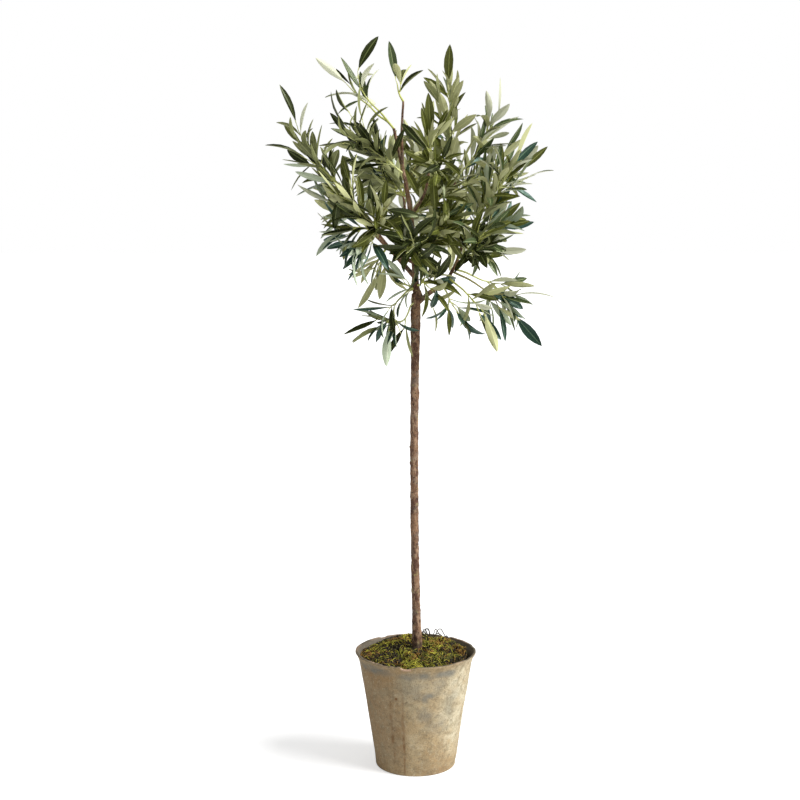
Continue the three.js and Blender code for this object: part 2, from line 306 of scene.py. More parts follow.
def add_node(tree, node_type, **values):
    """A node with its settings and sockets filled in, the sockets named with _ for spaces."""
    node = tree.nodes.new("ShaderNode" + node_type)
    for key, value in values.items():
        socket = next((s for s in node.inputs if s.name == key.replace("_", " ") and s.enabled), None)
        if socket is None:
            setattr(node, key, value)
        else:
            feed(tree, socket, value)
    return node


def reckoned(tree, operation, a, b):
    """The result of a Math node on two numbers or outputs."""
    node = add_node(tree, "Math", operation=operation)
    feed(tree, node.inputs[0], a)
    feed(tree, node.inputs[1], b)
    return node.outputs[0]


def shader_group(name, output, kind, **inputs):
    """An empty shader group with a Place socket, named number sockets and one output. Gives
    the group, its inputs by name and its output socket."""
    group = bpy.data.node_groups.new(name, "ShaderNodeTree")
    group.interface.new_socket("Place", in_out="INPUT", socket_type="NodeSocketVector")
    for label, value in inputs.items():
        socket = group.interface.new_socket(label, in_out="INPUT", socket_type="NodeSocketFloat")
        socket.default_value = value
    group.interface.new_socket(output, in_out="OUTPUT", socket_type=kind)
    entry = group.nodes.new("NodeGroupInput")
    leave = group.nodes.new("NodeGroupOutput")
    return group, entry.outputs, leave.inputs[output]


def make_patch_group():
    """Cloudy patches as a mask: noise, with all under Low at 0 and all over High at 1."""
    group, given, result = shader_group("patches", "Mask", "NodeSocketFloat",
                                        Fineness=50, Ragged=0.55, Low=0.4, High=0.6)
    noise = add_node(group, "TexNoise", Vector=given["Place"], Scale=given["Fineness"], Detail=4.0,
                     Roughness=given["Ragged"])
    edge = add_node(group, "MapRange", interpolation_type="SMOOTHSTEP", Value=noise.outputs[0],
                    From_Min=given["Low"], From_Max=given["High"])
    feed(group, result, edge.outputs[0])
    return group


def make_speck_group():
    """Small round specks as a mask: 0 further than Size from scattered points, 1 near them."""
    group, given, result = shader_group("specks", "Mask", "NodeSocketFloat", Fineness=300, Size=0.25)
    dots = add_node(group, "TexVoronoi", Vector=given["Place"], Scale=given["Fineness"])
    inside = reckoned(group, "SUBTRACT", given["Size"], dots.outputs["Distance"])
    edge = add_node(group, "MapRange", Value=inside, From_Min=0.0, From_Max=0.12)
    feed(group, result, edge.outputs[0])
    return group


def make_relief_group():
    """A rough surface's normal: fine noise as a bump."""
    group, given, result = shader_group("relief", "Normal", "NodeSocketVector",
                                        Fineness=900, Depth=0.3, Distance=0.001)
    noise = add_node(group, "TexNoise", Vector=given["Place"], Scale=given["Fineness"], Detail=3.0)
    bump = add_node(group, "Bump", Strength=given["Depth"], Distance=given["Distance"],
                    Height=noise.outputs[0])
    feed(group, result, bump.outputs[0])
    return group


class Finish:
    """A material being built round one Principled shader, from one plain colour, the coats
    laid over it, a gloss and a relief."""

    groups = {}

    def __init__(self, name, colour, roughness=0.8, specular=0.5):
        self.material = bpy.data.materials.new(name)
        self.material.use_nodes = True
        self.tree = self.material.node_tree
        self.skin = next(n for n in self.tree.nodes if n.type == "BSDF_PRINCIPLED").inputs
        self.skin["Roughness"].default_value = roughness
        self.skin["Specular IOR Level"].default_value = specular
        self.body = colour
        feed(self.tree, self.skin["Base Color"], colour)
        self.place = self.add("TexCoord").outputs["Object"]

    def add(self, node_type, **values):
        """A node in the material."""
        return add_node(self.tree, node_type, **values)

    def group(self, maker, **values):
        """The output of a shared group, which is made when it is first asked for."""
        if maker not in Finish.groups:
            Finish.groups[maker] = maker()
        node = self.tree.nodes.new("ShaderNodeGroup")
        node.node_tree = Finish.groups[maker]
        for label, value in {"Place": self.place, **values}.items():
            feed(self.tree, node.inputs[label], value)
        return node.outputs[0]

    def patches(self, fineness, low, high, ragged=0.55, **more):
        """A mask of cloudy patches."""
        return self.group(make_patch_group, Fineness=fineness, Low=low, High=high, Ragged=ragged, **more)

    def specks(self, fineness, size):
        """A mask of small round specks."""
        return self.group(make_speck_group, Fineness=fineness, Size=size)

    def times(self, a, b):
        """The product of two masks."""
        return reckoned(self.tree, "MULTIPLY", a, b)

    def coat(self, mask, colour, strength=1):
        """A colour laid over the body, as far as a mask and a strength let it."""
        if strength != 1:
            mask = self.times(mask, strength)
        node = self.add("Mix", data_type="RGBA", Factor=mask, A=self.body, B=colour)
        self.body = next(s for s in node.outputs if s.type == "RGBA")
        feed(self.tree, self.skin["Base Color"], self.body)

    def gloss(self, mask, low, high):
        """Roughness from low to high by a mask."""
        node = self.add("MapRange", Value=mask, To_Min=low, To_Max=high)
        feed(self.tree, self.skin["Roughness"], node.outputs[0])

    def relief(self, fineness, depth, distance):
        """A rough surface, of a fineness, a strength and a height."""
        normal = self.group(make_relief_group, Fineness=fineness, Depth=depth, Distance=distance)
        feed(self.tree, self.skin["Normal"], normal)

    def painted(self, name):
        """The three masks stored on the piece's points under a name."""
        stored = self.add("Attribute", attribute_name=name).outputs[0]
        return self.add("SeparateColor", Color=stored).outputs


# ---------- clay pot

POT_AROUND = 480
POT_WALL = 4.2 * MM
RIM_EDGE = 1.2 * MM
POT_EDGE = 2.8 * MM  # rounding of the foot
RIM_DROP = 1.8 * MM  # how much lower the rim is at the back
RIM_ZONE = 14 * MM  # how far below the rim a chip pulls the clay down
POT_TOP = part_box("pot")[1].z
FLOOR = 10 * MM  # thickness of the pot's floor

# Chips in the rim: bearing from the front, half width (both in degrees) and depth in mm.
RIM_CHIPS = (
    (-10, 5.0, 3.6), (-3.5, 2.6, 1.2), (-21, 2.0, 1.2), (-31, 4.0, 1.5), (-43, 2.2, 0.9), (-62, 3.0, 1.0),
    (58, 3.0, 0.8), (74, 2.4, 1.7), (83, 3.0, 1.3), (104, 4.0, 1.2), (148, 6.0, 2.0), (214, 4.0, 1.6),
)

# Marks on the clay: bearing and half width in degrees, height and half height in mm, strength.
SOOT_MARKS = (
    (4, 22, 180, 8, 1.0), (30, 16, 181, 7, 0.9), (24, 9, 166, 9, 1.0), (13, 8, 142, 12, 0.9),
    (10, 10, 112, 16, 0.75), (-48, 26, 184, 8, 0.9), (6, 26, 158, 26, 0.45), (44, 10, 130, 30, 0.4),
    (26, 14, 92, 18, 0.45), (150, 30, 150, 34, 0.7), (-140, 26, 120, 50, 0.6), (190, 40, 184, 8, 0.9),
)
STREAK_MARKS = (
    (-15.5, 2.1, 72, 80, 1.0), (-30, 2.4, 76, 74, 0.85), (-23, 10, 80, 74, 0.4), (36, 1.5, 60, 40, 0.25),
    (128, 2.2, 90, 80, 0.7), (205, 2.0, 80, 84, 0.6), (231, 6, 70, 60, 0.3),
)
# Pale marks: lime bloom. The broad one over the right side, where the key light falls, is also a painted
# highlight.
LIME_AND_HIGHLIGHT_MARKS = ((62, 34, 120, 90, 1.0), (48, 12, 158, 16, 1.0), (180, 50, 60, 50, 0.5))
# Dark marks: the two on the left side, away from the key light, are painted shade as well as dirt. The ones
# on the right and at the foot are dirt.
DIRT_AND_SHADE_MARKS = ((-62, 44, 90, 120, 1.0), (-40, 20, 190, 9, 0.8), (100, 30, 30, 40, 0.5), (34, 26, 6, 7, 0.9))
PIT_AT = (-22.0, 139.0)  # bearing in degrees and height in mm of one deep pit
PIT_SIZE = (1.7, 2.6)  # its half width in degrees and half height in mm

POT_CUTS = np.array([0.02, *np.linspace(0.08, 0.9, 9), 0.93, 0.955, 0.975, 0.99])
POT_HALVES = sliced("pot", np.zeros(3), UP * POT_TOP, POT_CUTS)[1]


def pot_side(height):
    """The pot's outer radius at a height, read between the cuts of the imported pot."""
    return np.interp(height, POT_CUTS * POT_TOP, POT_HALVES.max(axis=1))


def pot_profile():
    """The pot's half section as radius and height: along the underside, round the foot, up
    the side, over the rim, a flattened oval, down the inside and in over the floor."""

    def wall(start, end, count, inward=0):
        z = np.linspace(start, end, count)[1:]
        return pot_side(z) - inward, z

    quarter = np.linspace(0, math.pi / 2, 6)[1:]
    half_turn = np.linspace(0, math.pi, 11)[1:]
    lip, edge = POT_WALL / 2, POT_TOP - RIM_EDGE
    rim = pot_side(POT_TOP) - lip + lip * np.sign(np.cos(half_turn)) * np.abs(np.cos(half_turn)) ** 0.6
    return np.hstack([
        (np.linspace(4 * MM, pot_side(0) - POT_EDGE, 5), np.zeros(5)),
        (pot_side(POT_EDGE) - POT_EDGE + POT_EDGE * np.sin(quarter), POT_EDGE - POT_EDGE * np.cos(quarter)),
        wall(POT_EDGE, POT_TOP - RIM_ZONE, 88),
        wall(POT_TOP - RIM_ZONE, edge, 18),
        (rim, edge + RIM_EDGE * np.sin(half_turn) ** 0.6),
        wall(edge, POT_TOP - 36 * MM, 16, POT_WALL),
        wall(POT_TOP - 36 * MM, FLOOR, 7, POT_WALL),
        (np.linspace(pot_side(FLOOR) - POT_WALL, 4 * MM, 4)[1:], np.full(3, FLOOR)),
    ]).T


def marked(marks, bearing, height):
    """The strongest of soft oval marks at each place, each its strength times exp(-d^4)."""
    total = np.zeros_like(bearing)
    for at, wide, level, tall, strength in marks:
        off = (bearing - at + 180) % 360 - 180
        far = (off / wide) ** 2 + ((height / MM - level) / tall) ** 2
        total = np.maximum(total, strength * np.exp(-(far**2)))
    return total


def rim_notches(u):
    """How far the chips lower the rim all round: flat notches with soft, ragged ends."""
    ragged = u * 360 - 180 + 1.2 * value_noise(u, 0.5, (90, 2), 35)
    notch = np.zeros_like(u)
    for at, wide, depth in RIM_CHIPS:
        off = np.abs((ragged - at + 180) % 360 - 180) / wide
        notch = np.maximum(notch, depth * MM * (1 - smoothstep(0.55, 1.25, off)))
    return notch


def make_pot():
    """The thrown pot: its section turned round, made a little uneven by slow noise, with the
    rim pulled down at each chip. Its masks, such as soot and bare clay, go with its points."""
    section = pot_profile()
    rows = len(section)
    u, v = np.meshgrid(np.arange(POT_AROUND) / POT_AROUND, np.linspace(0, 1, rows))

    def noise(across, up, seed, x=u, y=v):
        return value_noise(x, y, (across, up), seed)

    bearing = u * 360 - 180
    radius, height = section[:, :1], section[:, 1:] + 0 * u
    upright = smoothstep(4 * MM, 20 * MM, height)
    slow = noise(5, 5, 31) + 0.6 * noise(11, 12, 32)
    fine = noise(70, 44, 33) + 0.6 * noise(150, 90, 34)
    radius = radius + upright * (0.55 * MM * slow + 0.12 * MM * fine)
    notch = rim_notches(u[0])
    back = 0.5 - 0.5 * np.cos(np.radians(bearing[0]))
    uneven = 0.4 * MM * noise(7, 2, 36, u[0], 0.5) + 0.3 * MM * noise(60, 2, 37, u[0], 0.5)
    zone = np.clip((height - (POT_TOP - RIM_ZONE)) / RIM_ZONE, 0, 1)
    height = height - (notch + RIM_DROP * back**1.5 + uneven) * zone**1.5
    outside = v < v[np.argmax(section[:, 1])]
    spalled = smoothstep(1.2 * MM, 2.6 * MM, notch) * smoothstep(0.55, 0.8, zone)
    radius = radius - np.where(outside, 1.1 * MM, 0) * spalled
    across = ((bearing - PIT_AT[0]) / PIT_SIZE[0]) ** 2 + ((height / MM - PIT_AT[1]) / PIT_SIZE[1]) ** 2
    pit = np.exp(-(across**2)) * outside
    radius = radius - 0.9 * MM * pit
    turn = np.radians(bearing)
    grid = np.stack([radius * np.sin(turn), -radius * np.cos(turn), height], axis=-1)
    points = np.vstack([grid.reshape(-1, 3), [[0, 0, 0], [0, 0, FLOOR]]])
    piece = new_piece("clay_pot", points, closed_tube(rows, POT_AROUND), [clay_finish()])
    cloud = (0.72 + 0.5 * noise(46, 34, 38)) * outside
    broken = (0.75 + 0.6 * noise(60, 40, 40)) * outside
    wander = bearing + 1.5 * noise(2, 16, 39, 0)
    streak = np.maximum(marked(STREAK_MARKS, wander, height) * broken, pit * 1.6)
    rubbed = smoothstep(0.86, 0.99, zone) * smoothstep(-0.1, 0.6, noise(24, 2, 43, u, 0))
    bare = np.maximum(spalled, 0.35 * rubbed)
    # Painted shade along the rim's top edge, darkest at the left and right sides.
    lip_shade = smoothstep(0.88, 0.97, zone) * (0.6 + 0.4 * np.sin(turn) ** 2)
    # dirt, with painted shade over the left side
    dirt_and_shade = marked(DIRT_AND_SHADE_MARKS, bearing, height) * outside
    paint(piece, "wear", [marked(SOOT_MARKS, bearing, height) * cloud, streak, bare])
    # tone: lime bloom with a painted highlight, painted shade over the inside wall, and dirt with painted
    # shade on the left side
    paint(piece, "tone", [marked(LIME_AND_HIGHLIGHT_MARKS, bearing, height) * cloud, 1.0 - outside, dirt_and_shade])
    paint(piece, "lip", [lip_shade * (1 - bare)])
    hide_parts("pot")


def paint(piece, name, masks):
    """Up to three masks stored on a piece's points under a name, with 0 past the last."""
    masks = np.stack([mask.ravel() for mask in masks], axis=-1)
    stored = np.zeros((len(piece.data.vertices), 4), np.float32)
    stored[: len(masks), : masks.shape[1]] = masks
    layer = piece.data.attributes.new(name, "FLOAT_COLOR", "POINT")
    layer.data.foreach_set("color", stored.ravel())


def clay_finish():
    """Weathered clay: tan and pale clouds, lime bloom with a painted highlight down the lit right
    side, olive-brown dirt with painted shade over the left side, grey soot, rusty streaks,
    painted shade inside the pot and along the rim's top edge, bare pink clay in the chips, and
    fine dark and pale specks."""
    clay = Finish("weathered_clay", (0.44, 0.325, 0.18), roughness=0.85, specular=0.2)
    soot, streak, bare = clay.painted("wear")
    lime_and_highlight, inner_shade, dirt_and_shade = clay.painted("tone")
    clay.coat(clay.patches(26, 0.35, 0.65), (0.50, 0.40, 0.245))
    clay.coat(clay.patches(11, 0.48, 0.68), (0.37, 0.25, 0.125))
    # lime bloom, with a painted highlight down the lit right side
    clay.coat(lime_and_highlight, (0.66, 0.595, 0.425), 0.85)
    # olive-brown dirt, with painted shade over the left side
    clay.coat(dirt_and_shade, (0.27, 0.17, 0.085), 0.7)
    clay.coat(clay.patches(38, 0.46, 0.62, 0.7), (0.29, 0.245, 0.155), 0.45)
    clay.coat(clay.patches(95, 0.48, 0.64, 0.75), (0.20, 0.155, 0.09), 0.5)
    clay.coat(clay.patches(210, 0.52, 0.68, 0.7), (0.62, 0.55, 0.40), 0.3)
    # painted shade over the inside wall of the pot
    clay.coat(inner_shade, (0.135, 0.12, 0.095), 0.9)
    clay.coat(soot, (0.175, 0.18, 0.16), 0.8)
    clay.coat(streak, (0.21, 0.115, 0.05), 0.75)
    # painted shade along the rim's top edge
    clay.coat(clay.painted("lip")[0], (0.125, 0.105, 0.075), 0.85)
    clay.coat(clay.patches(520, 0.52, 0.62, 0.8), (0.13, 0.095, 0.05), 0.55)
    clay.coat(clay.specks(420, 0.16), (0.10, 0.07, 0.035), 0.5)
    clay.coat(bare, (0.56, 0.38, 0.26))
    clay.gloss(clay.patches(60, 0.35, 0.7), 0.74, 0.93)
    clay.relief(fineness=520, depth=0.6, distance=0.8 * MM)
    return clay.material


# ---------- moss

MOSS_RADIUS = float(pot_side(POT_TOP - 7 * MM)) - POT_WALL - 4.5 * MM
MOSS_ASIDE = np.array([-3.5 * MM, 0, 0])  # it lies to the left, with a dark gap at the right
MOSS_BED_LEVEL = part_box("moss")[0].z
MOSS_FOOT = 0.93  # how far in the bed's foot is, as the pot narrows
MOSS_STRANDS = 5500
STRAND_ROWS = 6
STRAND_SIDES = 3
MOSS_CLUMPS = 90
SHADED_EDGE = (0.82, 0.93)  # how far out, in front and behind, most of the moss is painted dark as shade along the pot's wall
STEM_SHADE_GAP = 17 * MM  # and how near the stem, as painted shade where it stands in the moss


def moss_level(x, y):
    """Height of the mound at a place: a low dome that stands higher behind and lower at the
    back left, with slow lumps that fade towards its edge."""
    x, y = x / MOSS_RADIUS, y / MOSS_RADIUS
    out = np.hypot(x, y)
    dome = POT_TOP - 9.5 * MM + 10 * MM * (1 - out**2.4)
    tilt = 6 * MM * y + 1.5 * MM * x
    hollow = np.exp(-((x + 0.62) ** 2 + (y - 0.62) ** 2) / 0.12)
    lumps = 0
    for cells, seed, high in ((6, 51, 3.2 * MM), (15, 52, 1.5 * MM)):
        lumps = lumps + value_noise((x + 1) / 2, (y + 1) / 2, (cells, cells), seed, wrap_x=False) * high
    return dome + (tilt - 6 * MM * hollow) + lumps * (1 - 0.4 * out**4)


def make_moss():
    """A dark bed, a dome on a flat base, and over it thousands of curling strands in clumps
    that each take one tint and lean one way."""
    rows, sides = 34, 120
    out = np.linspace(1 / rows, 1, rows)[:, None] * MOSS_RADIUS
    turn = TURN * np.arange(sides)[None] / sides
    x, y = out * np.cos(turn), out * np.sin(turn)
    dome = np.stack([x, y, moss_level(x, y) - 1.5 * MM], axis=-1)
    skirt = dome[-1:] * MOSS_FOOT
    skirt[..., 2] = MOSS_BED_LEVEL
    grid = np.concatenate([dome, skirt])[::-1]
    peak = float(moss_level(np.zeros(1), np.zeros(1))[0]) - 1.5 * MM
    points = np.vstack([grid.reshape(-1, 3), UP * MOSS_BED_LEVEL, UP * peak]) + MOSS_ASIDE
    bed = new_piece("moss_bed", points, closed_tube(rows + 1, sides), [moss_bed_finish()])
    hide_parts("moss")
    finishes = [leaf_finish("moss_" + n, c, 0.7) for n, c in MOSS_TINTS.items()]
    paths, thick, tint = strand_paths(np.random.default_rng(SEED + 60))
    piece = tube_piece("moss_strands", paths, thick, STRAND_SIDES, finishes, tint)


MOSS_TINTS = {
    "bright": (0.50, 0.46, 0.045),
    "fresh": (0.27, 0.26, 0.022),
    "green": (0.10, 0.095, 0.010),
    "rust": (0.27, 0.145, 0.022),
    # dark: dark dead moss, also dealt to the strands at the wall and by the stem as painted shade
    "dark": (0.030, 0.019, 0.008),
}
MOSS_SHARE = (0.20, 0.15, 0.13, 0.26, 0.26)


def scattered(rng, count):
    """Places spread evenly over a round plate of radius 1, and how far out they are."""
    out = np.sqrt(rng.uniform(0, 1, count))
    turn = rng.uniform(0, TURN, count)
    return np.stack([out * np.cos(turn), out * np.sin(turn)], axis=1), out


def strand_paths(rng):
    """Paths, radii and tints of the moss strands. A strand sets out along its clump's
    heading, curls sideways at a steady rate and arches up and back down."""
    clumps, _ = scattered(rng, MOSS_CLUMPS)
    foot, out = scattered(rng, MOSS_STRANDS)
    clump = np.linalg.norm(foot[:, None] - clumps[None], axis=2).argmin(axis=1)
    lean = rng.uniform(0, TURN, MOSS_CLUMPS)[clump] + rng.normal(0, 0.5, MOSS_STRANDS)
    curl = rng.normal(0, 0.8, MOSS_CLUMPS)[clump] + rng.normal(0, 1.1, MOSS_STRANDS)
    length = rng.uniform(7, 26, MOSS_STRANDS) * MM
    arch = rng.uniform(0.3, 6, MOSS_STRANDS) * MM * rng.uniform(0.3, 1.6, MOSS_CLUMPS)[clump]
    t = np.linspace(0, 1, STRAND_ROWS)
    way = lean[:, None] + curl[:, None] * t
    step = length[:, None] / STRAND_ROWS
    x = foot[:, :1] * MOSS_RADIUS + np.cumsum(np.cos(way) * step, axis=1)
    y = foot[:, 1:] * MOSS_RADIUS + np.cumsum(np.sin(way) * step, axis=1)
    inside = np.minimum(1, (MOSS_RADIUS - 0.5 * MM) / np.maximum(np.hypot(x, y), 1e-6))
    x, y = x * inside, y * inside
    z = moss_level(x, y) - 1.2 * MM + arch[:, None] * np.sin(math.pi * t**0.8)
    tint = rng.choice(len(MOSS_TINTS), MOSS_CLUMPS, p=MOSS_SHARE)[clump]
    other = rng.choice(len(MOSS_TINTS), MOSS_STRANDS, p=MOSS_SHARE)
    tint = np.where(rng.random(MOSS_STRANDS) < 0.4, other, tint)
    # Strands at the pot's wall and by the stem mostly take the dark tint, as painted shade.
    dark = len(MOSS_TINTS) - 1
    shaded_edge = out > np.where(foot[:, 1] < 0, *SHADED_EDGE)
    tint = np.where(shaded_edge & (rng.random(MOSS_STRANDS) < 0.75), dark, tint)
    stem = (LIMBS["trunk"][0][0] - MOSS_ASIDE)[:2]
    shaded_by_stem = np.hypot(*(foot * MOSS_RADIUS - stem).T) < STEM_SHADE_GAP
    tint = np.where(shaded_by_stem & (rng.random(MOSS_STRANDS) < 0.6), dark, tint)
    thick = rng.uniform(0.45, 1.05, MOSS_STRANDS)[:, None] * MM * (1 - 0.6 * t)
    return np.stack([x, y, z], axis=-1) + MOSS_ASIDE, thick, tint


def moss_bed_finish():
    """Damp peat and dead moss: dark brown with green and rusty clouds."""
    bed = Finish("moss_bed", (0.030, 0.024, 0.012), roughness=0.95, specular=0.15)
    bed.coat(bed.patches(160, 0.4, 0.6), (0.075, 0.080, 0.020))
    bed.coat(bed.patches(90, 0.55, 0.65), (0.13, 0.075, 0.02), 0.7)
    bed.relief(fineness=700, depth=0.8, distance=1.2 * MM)
    return bed.material


# Tendrils: the foot, right and back in mm, the heading in radians and the height in mm.
TENDRILS = (
    ((20, 60), 2.6, 15), ((24, 62), 1.9, 22), ((29, 64), 0.9, 18), ((34, 62), 0.5, 22),
    ((22, 66), 2.2, 17), ((31, 60), -0.3, 14), ((27, 62), 2.9, 20),
)
TENDRIL_LOOP = ((0, 0), (3, 0.7), (10, 1), (18, 0.45))  # mm ahead, and share of the height
TENDRIL_RADIUS = 0.8 * MM


def make_tendrils():
    """A few dark dead tendrils that spring out of the moss at the back right and loop over."""
    rng = np.random.default_rng(SEED + 70)
    paths = []
    for place, heading, rise in TENDRILS:
        foot = np.array([*place, 0]) * MM
        foot[2] = moss_level(foot[0], foot[1]) - 2 * MM
        ahead = np.array([math.cos(heading), math.sin(heading) * 0.4, 0])
        sway = rng.normal(0, 1.2, (4, 3)) * MM
        sway[0] = 0
        loop = [foot + ahead * out * MM + UP * rise * share * MM for out, share in TENDRIL_LOOP]
        paths.append(along_curve(np.array(loop) + sway, 16))
    paths = np.array(paths)
    finish = leaf_finish("dead_tendril", (0.075, 0.062, 0.036), 0.6)
    thick = np.full(paths.shape[:2], TENDRIL_RADIUS)
    piece = tube_piece("moss_tendrils", paths, thick, 4, [finish], np.zeros(len(paths)))


def plug_finish():
    """Potting plug under the moss: brown with darker pores."""
    plug = Finish("potting_plug", (0.060, 0.045, 0.026), roughness=0.95, specular=0.1)
    plug.coat(plug.patches(80, 0.4, 0.6), (0.095, 0.072, 0.045))
    plug.coat(plug.specks(700, 0.3), (0.020, 0.014, 0.008), 0.8)
    plug.relief(fineness=900, depth=0.6, distance=0.8 * MM)
    return plug.material


# ---------- bark

TRUNK_SIDES = 40
TRUNK_ROW = 1.1 * MM
BOUGH_SIDES = 20
BOUGH_ROW = 1.6 * MM
BOUGH_COLLAR = 0.35  # how much thicker a bough is at its foot
BARK_WAVES = (0.05, 0.05, 0.035, 0.018)  # heights of four sizes of relief, as shares of the radius
FOOT_DARK = (205 * MM, 236 * MM)  # heights where the bark is darkest, and no longer dark


def bark_relief(u, v, length, radius, seed):
    """How far the bark stands off a limb: the sum of long swellings, lumps, ridges and grain,
    and a few knots. u goes round and v along, both from 0 to 1."""
    turns = max(int(length / (9 * MM)), 3)
    cells = ((3, turns // 2 + 2), (6, turns * 2), (13, turns * 3), (26, turns * 7))
    rough = sum(value_noise(u, v, c, seed + n) * BARK_WAVES[n] for n, c in enumerate(cells))
    knots = np.clip(value_noise(u, v, (4, turns), seed + 4) - 0.62, 0, 1) * 0.32
    return radius * (rough + knots)


def limb_surface(line, radii, sides, row, seed, collar=0.0):
    """A limb as a grid: a circle carried along its middle line, with the radius read along
    it, a collar at its foot and the bark's relief. Poles close both ends."""
    length = path_length(line)
    rows = max(int(length / row), 8)
    centre = along_curve(line, rows)
    v = np.linspace(0, 1, rows)
    radius = np.interp(v, np.linspace(0, 1, len(radii)), radii)
    radius = radius * (1 + collar * np.exp(-v * length / (7 * MM)))
    across, over = side_vectors(tangents(centre), (0.05, 1.0, 0.02))
    u = np.arange(sides) / sides
    grid_u, grid_v = np.meshgrid(u, v)
    reach = radius[:, None] + bark_relief(grid_u, grid_v, length, radius[:, None], seed)
    ring = swung(across[:, None], over[:, None], TURN * grid_u[..., None])
    grid = centre[:, None] + ring * reach[..., None]
    return np.vstack([grid.reshape(-1, 3), centre[:1], centre[-1:]]), closed_tube(rows, sides)


def make_bark(material):
    """The trunk, run on to its foot and into the leader, and each bough, run on a little way
    into the limb that it leaves."""
    for number, (node, (line, radii)) in enumerate(LIMBS.items()):
        if node == "trunk":
            foot = np.array([*line[0][:2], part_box("trunk")[0].z])
            top = line[-1] + (line[-1] - line[-2]) * 0.3
            path, radii = np.vstack([foot, line, top]), [radii[0], *radii, radii[-1]]
            points, faces = limb_surface(path, radii, TRUNK_SIDES, TRUNK_ROW, 0)
        else:
            inward = line[0] - (line[1] - line[0]) * 0.6
            root = LIMB_POINTS[np.linalg.norm(LIMB_POINTS - inward, axis=1).argmin()]
            path, radii = np.vstack([root * 0.5 + inward * 0.5, line]), [radii[0], *radii]
            points, faces = limb_surface(path, radii, BOUGH_SIDES, BOUGH_ROW, 10 * number, BOUGH_COLLAR)
        piece = new_piece(node + "_bark", points, faces, [material])
        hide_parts(node)


def bark_finish():
    """Olive bark: brown and tan clouds drawn out along the stem, grey patches, dark pores, pale
    scales, ochre lichen, a darker foot and a fine relief."""
    bark = Finish("olive_bark", (0.10, 0.046, 0.028), roughness=0.8, specular=0.3)
    long = bark.add("Mapping", Vector=bark.place, Scale=(1.0, 1.0, 0.45)).outputs[0]
    bark.coat(bark.patches(85, 0.4, 0.6, Place=long), (0.25, 0.14, 0.078))
    bark.coat(bark.patches(150, 0.5, 0.62, 0.7, Place=long), (0.41, 0.27, 0.17), 0.75)
    bark.coat(bark.patches(60, 0.52, 0.66), (0.20, 0.16, 0.125), 0.5)
    bark.coat(bark.patches(330, 0.56, 0.64), (0.035, 0.018, 0.014), 0.85)
    bark.coat(bark.specks(520, 0.2), (0.52, 0.42, 0.26), 0.55)
    bark.coat(bark.patches(120, 0.62, 0.68), (0.34, 0.28, 0.11), 0.6)
    # Darker towards the trunk's foot, in patches.
    height = bark.add("SeparateXYZ", Vector=bark.place).outputs["Z"]
    low = bark.add("MapRange", Value=height, From_Min=FOOT_DARK[1], From_Max=FOOT_DARK[0])
    darker_foot = bark.times(low.outputs[0], bark.patches(110, 0.3, 0.55))
    bark.coat(darker_foot, (0.035, 0.020, 0.012), 0.8)
    bark.gloss(bark.patches(200, 0.3, 0.7), 0.65, 0.92)
    bark.relief(fineness=620, depth=0.7, distance=0.9 * MM)
    return bark.material


# ---------- branching

CROWN_SEED = 2327
LEAF_LENGTH = 67 * MM  # a full-grown leaf
NODE_STEP = 25 * MM  # between pairs of leaves along a twig
SIDE_STEP = 31 * MM  # between side shoots along a leading shoot
SIDE_SHORTEST = 12 * MM
SHOOT_ROWS = 16
SHOOT_SIDES = 5
TWIG_RADIUS = 2.0 * MM
TIP_RADIUS = 0.6 * MM
STRAY = 13 * MM  # how far a leaf may reach past its mass
TUCKS = (1.0, 0.7, 0.4)  # shares of its angle that a leaf may stand off, as there is room
MISSING = 0.12  # share of leaves left out
WIDE_LEAVES, CLOSE_LEAVES = 54, 30  # a leaf's angle to its shoot, in degrees: foot and tip
SIDES_END = 0.84  # how far along a leading shoot the side shoots stand
UPWARD, OUTWARD = 0.3, 0.3  # how much the leaves' upper sides turn to the sky, and out from the stem

HEART_SHOOTS = 3.7  # side shoots for each side step, in a broad spray at the crown's heart
CROWN_REACH = 235 * MM  # how far from the heart a spray's middle has no side shoots left
BROAD = 35 * MM  # half width of a broad spray
BARE_FEET = ("hanging", "crest", "tip", "fork")  # sprays whose leading shoot starts bare
BARE_SHARE, LEAFY_SHARE = 0.45, 0.12  # how much of it is bare, and how much of any other's
HEART = np.mean([mass.middles.mean(axis=0) for mass in SHAPES], axis=0)


def fullness(mass):
    """How thickly side shoots stand in a mass: a broad one at the crown's heart is the
    fullest, and it thins out with the square of the distance from there."""
    out = np.linalg.norm(mass.middles.mean(axis=0) - HEART) / CROWN_REACH
    broad = mass.halves.max(axis=0).mean() / BROAD
    return HEART_SHOOTS * max(1 - out**2, 0) * broad


def bare_share(mass):
    """How much of a mass's leading shoot is bare at its foot."""
    return BARE_SHARE if any(word in mass.node for word in BARE_FEET) else LEAFY_SHARE


class Crown:
    """What the branching rule grows: each shoot's path, radii and spray, each leaf's place,
    heading, upper side, length and spray, and the feet of the leading shoots, from which
    later ones may leave."""

    def __init__(self):
        self.shoots, self.leaves, self.leaders = [], [], []

    def add_shoot(self, path, foot_radius, tip_radius, spray):
        """A shoot that tapers steadily."""
        radii = np.linspace(foot_radius, tip_radius, SHOOT_ROWS)
        self.shoots.append((resample(path, SHOOT_ROWS), radii, spray))


def turned_about(vector, axis, angle):
    """A vector turned about a unit axis by Rodrigues' formula."""
    along = axis * np.dot(axis, vector) * (1 - math.cos(angle))
    return swung(vector, np.cross(axis, vector), angle) + along


